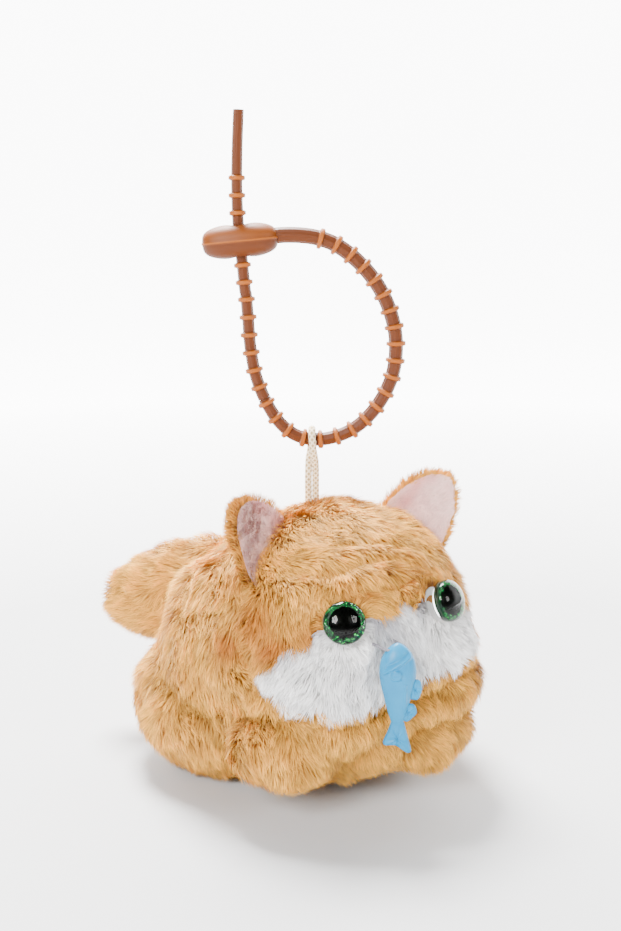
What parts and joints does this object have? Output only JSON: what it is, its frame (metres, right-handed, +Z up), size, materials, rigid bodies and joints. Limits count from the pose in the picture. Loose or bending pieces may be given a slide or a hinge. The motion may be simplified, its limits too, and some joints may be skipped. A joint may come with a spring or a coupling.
{
  "type": "plush keychain",
  "caption": "Stuffed cat keychain that hangs by a cord loop from a reusable ribbed strap with a push-through lock; a small fish hangs from its mouth.",
  "frame": {"origin": "the place where a hook or ring bears inside the top of the strap's loop, straight above the cord", "axes": "+Z up; the strap's loop lies in the XZ plane with its lock towards -X; the plush is turned 30 degrees about +Z, so its face looks towards -Y and +X"},
  "size_m": [0.1218, 0.1145, 0.2015],
  "materials": {
    "strap_silicone": "satin silicone",
    "cord": "braided cord",
    "fur_tan": "long-pile plush",
    "fur_white": "long-pile plush",
    "ear_pink": "short-pile plush",
    "stuffing": "polyester fibre",
    "eye_clear": "clear acrylic, glossy",
    "eye_black": "glossy",
    "eye_glitter": "green glitter",
    "washer_plastic": "matt",
    "thread": "sewing thread",
    "fish_plastic": "satin moulded plastic"
  },
  "bodies": {
    "strap": {"strap_loop_and_lock": "strap_silicone"},
    "tail": {"strap_tail": "strap_silicone"},
    "bight": {"cord_bight": "cord"},
    "cord": {"cord_knot": "cord"},
    "plush": {"muzzle_cover": "fur_white", "face_cover": "fur_tan", "side_cover_left": "fur_tan", "side_cover_right": "fur_tan", "belly_cover": "fur_tan", "body_stuffing": "stuffing", "hind_foot_left": "fur_tan", "hind_foot_right": "fur_tan", "front_paw_left": "fur_tan", "front_paw_right": "fur_tan", "ear_back_left": "fur_tan", "ear_back_right": "fur_tan", "ear_lining_left": "ear_pink", "ear_lining_right": "ear_pink", "tail_cover": "fur_tan", "tail_stuffing": "stuffing", "eye_lens_left": "eye_clear", "eye_lens_right": "eye_clear", "eye_post_left": "eye_black", "eye_post_right": "eye_black", "eye_glitter_left": "eye_glitter", "eye_glitter_right": "eye_glitter", "eye_washer_left": "washer_plastic", "eye_washer_right": "washer_plastic", "fish_thread": "thread"},
    "fish": {"fish_charm": "fish_plastic"}
  },
  "joints": [
    {"name": "tail_pull", "type": "slide", "parent": "strap", "child": "tail", "axis": [-0.0941, 0, 0.9956], "range_m": [0, 0.0102]},
    {"name": "cord_swing", "type": "hinge", "parent": "strap", "child": "bight", "pos_m": [0, 0, -0.0575], "axis": [1, 0, 0], "range_deg": [-50, 50]},
    {"name": "cord_sway", "type": "hinge", "parent": "bight", "child": "cord", "pos_m": [0, 0, -0.068], "axis": [0, 1, 0], "range_deg": [-20, 20]},
    {"name": "plush_turn", "type": "hinge", "parent": "cord", "child": "plush", "pos_m": [0, 0, -0.0848], "axis": [0, 0, 1], "range_deg": [-90, 90]},
    {"name": "fish_swing", "type": "hinge", "parent": "plush", "child": "fish", "pos_m": [0.02341, -0.05154, -0.10756], "axis": [-0.866, -0.5, 0], "range_deg": [0, 50]}
  ]
}
